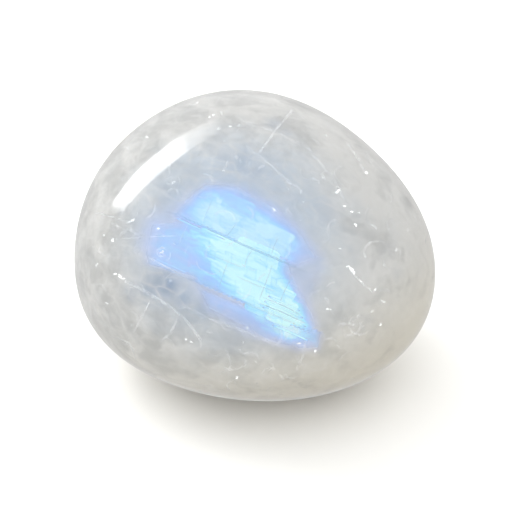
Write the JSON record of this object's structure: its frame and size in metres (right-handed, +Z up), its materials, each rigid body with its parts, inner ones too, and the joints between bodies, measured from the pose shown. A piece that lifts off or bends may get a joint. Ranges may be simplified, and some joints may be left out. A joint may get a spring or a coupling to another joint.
{
  "type": "tumbled moonstone",
  "caption": "Polished tumbled moonstone pebble, milky and half clear with a blue flash inside, resting on a small flat spot.",
  "frame": {"origin": "on the surface the stone rests on, under the middle of the stone's box", "axes": "+Z up, +X to the right along the stone's longest side, -Y towards the side that shows the blue flash"},
  "size_m": [0.0302, 0.0266, 0.0237],
  "materials": {
    "moonstone": "polished, half clear, milky white with bluish clear patches and a blue flash"
  },
  "bodies": {
    "root": {"moonstone": "moonstone"}
  },
  "joints": []
}
